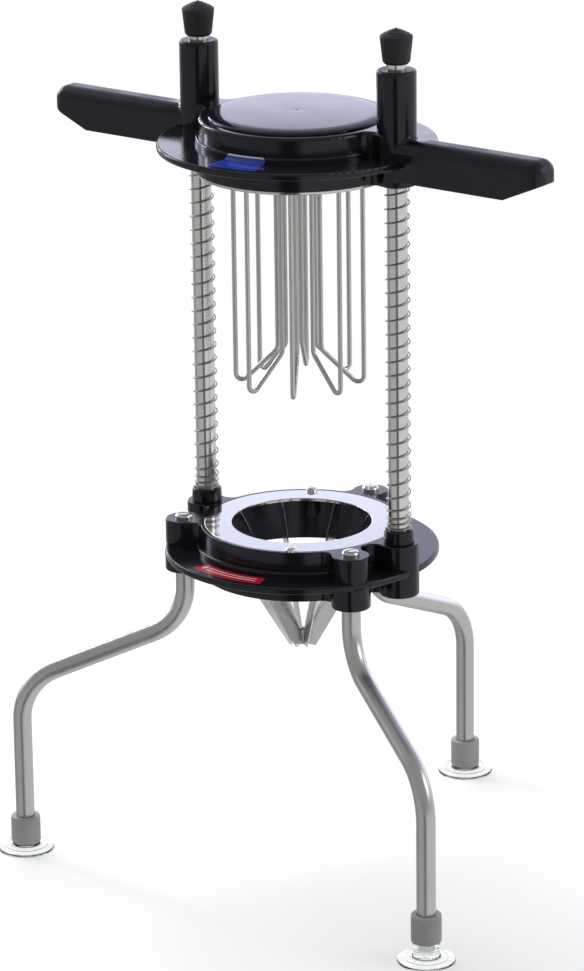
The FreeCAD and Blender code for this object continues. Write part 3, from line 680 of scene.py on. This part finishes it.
# %% Sticker films
def film(name, colour, roughness):
    """Printed film with a thin clear layer, paler where it is scratched."""
    material, tree, shader, place = blank(name, colour, roughness, Coat_Weight=0.4, Coat_Roughness=0.1)
    worn = use_group(tree, marks, Vector=place, Amount=0.4)
    pale = tuple(min(1.0, channel * 1.3 + 0.03) for channel in colour)
    tree.links.new(between(tree, worn["Scratch"], colour, pale), shader.inputs["Base Color"])
    dull = remap(tree, worn["Smudge"], 0, 1, roughness, roughness + 0.15)
    tree.links.new(dull, shader.inputs["Roughness"])
    return material


# %% Lay a film along a flange
FILM = 0.12
LIFT = 0.03
STEPS_ALONG = 44


def row_of(rows, point):
    """Number of the row of (radius, height) that this point is nearest to."""
    radius, height = Vector(point.xy).length / MM, point.z / MM
    return min(range(len(rows)), key=lambda i: abs(rows[i][0] - radius) + abs(rows[i][1] - height))


def sticker(name, rows, start, end, corner, films, is_pale):
    """Film along rows of (radius, height), turned from start to end; is_pale says which faces are pale."""
    shape = bmesh.new()
    turn = Matrix.Rotation(radians(start), 3, "Z")
    points = [shape.verts.new(turn @ Vector((radius * MM, 0, height * MM))) for radius, height in rows]
    lines = [shape.edges.new(pair) for pair in zip(points, points[1:])]
    length = radians(end - start)
    bmesh.ops.spin(
        shape, geom=points + lines, cent=(0, 0, 0), axis=(0, 0, 1), angle=length, steps=STEPS_ALONG
    )
    to_middle = Matrix.Rotation(-radians((start + end) / 2), 3, "Z")

    def from_middle(point):
        return (to_middle @ point).to_2d().angle_signed(Vector((1, 0)))

    for face in shape.faces:
        centre = face.calc_center_median()
        face.material_index = int(is_pale(from_middle(centre) / length + 0.5, row_of(rows, centre)))
    # Near the two long edges the rows are drawn in by a quarter circle, which rounds the corners.
    gaps = [(Vector(b) - Vector(a)).length for a, b in zip(rows, rows[1:])]
    for vert in shape.verts:
        row = row_of(rows, vert.co)
        edge = min(sum(gaps[:row]), sum(gaps[row:]))
        if edge < corner:
            drawn_in = corner - (corner ** 2 - (corner - edge) ** 2) ** 0.5
            back = -from_middle(vert.co) * drawn_in / (rows[row][0] * length / 2)
            vert.co = Matrix.Rotation(back, 3, "Z") @ vert.co
    bmesh.ops.recalc_face_normals(shape, faces=shape.faces)
    if sum(face.normal.z for face in shape.faces) < 0:
        bmesh.ops.reverse_faces(shape, faces=shape.faces)
    # A copy of the sheet is lifted by the film's thickness; all normals are read before any point moves.
    skin_top = bmesh.ops.extrude_face_region(shape, geom=shape.faces[:])["geom"]
    top = [item for item in skin_top if isinstance(item, bmesh.types.BMVert)]
    for vert in top:
        vert.normal_update()
    for vert in top:
        vert.co += vert.normal * FILM * MM
    bmesh.ops.recalc_face_normals(shape, faces=shape.faces)
    bmesh.ops.translate(shape, verts=shape.verts, vec=(0, AXIS_Y, 0))
    piece = make_piece(name, shape)
    for material in films:
        piece.data.materials.append(material)
    print(name, len(piece.data.polygons), "faces")
    return piece


# %% A red strip and a blue patch
RING_FLANGE_TOP = 236.3
HEAD_FLANGE_TOP = 526.3
red_film = film("red_film", (0.47, 0.008, 0.025), 0.25)
blue_film = film("blue_film", (0.012, 0.04, 0.33), 0.22)
pale_film = film("pale_film", (0.72, 0.66, 0.68), 0.3)
ring_top = RING_FLANGE_TOP + LIFT
red_radii = (77.5, 77.8, 78.4, 79.3, 80.9, 81.9, 84.6, 85.6, 88.2, 89.1, 89.7, 90.0)
red_rows = [(radius, ring_top) for radius in red_radii]


def on_red_bars(along, row):
    """Two long bars, and a short upright one near the left end."""
    on_long_bars = 0.17 < along < 0.9 and row in (4, 6)
    on_short_bar = 0.07 < along < 0.12 and 3 < row < 7
    return on_long_bars or on_short_bar


def on_blue_bar(along, row):
    """One bar along the upper edge."""
    return row < 2


red_strip = sticker("red_strip", red_rows, 249.4, 287.4, 1.6, [red_film, pale_film], on_red_bars)
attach(red_strip, "stand")
head_top = HEAD_FLANGE_TOP + LIFT
blue_rows = [(69.2, 530.35), (69.5, 530.1), (69.85, 529.4), (70.1, 528.6), (70.6, 527.8), (71.4, 527.0)]
blue_rows += [(72.6, head_top + 0.2)]
blue_rows += [(radius, head_top) for radius in (74.5, 79.0, 84.0, 88.0, 89.3, 90.1, 90.5)]
blue_patch = sticker("blue_patch", blue_rows, 264.0, 288.6, 2.6, [blue_film, pale_film], on_blue_bar)
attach(blue_patch, "pusher")
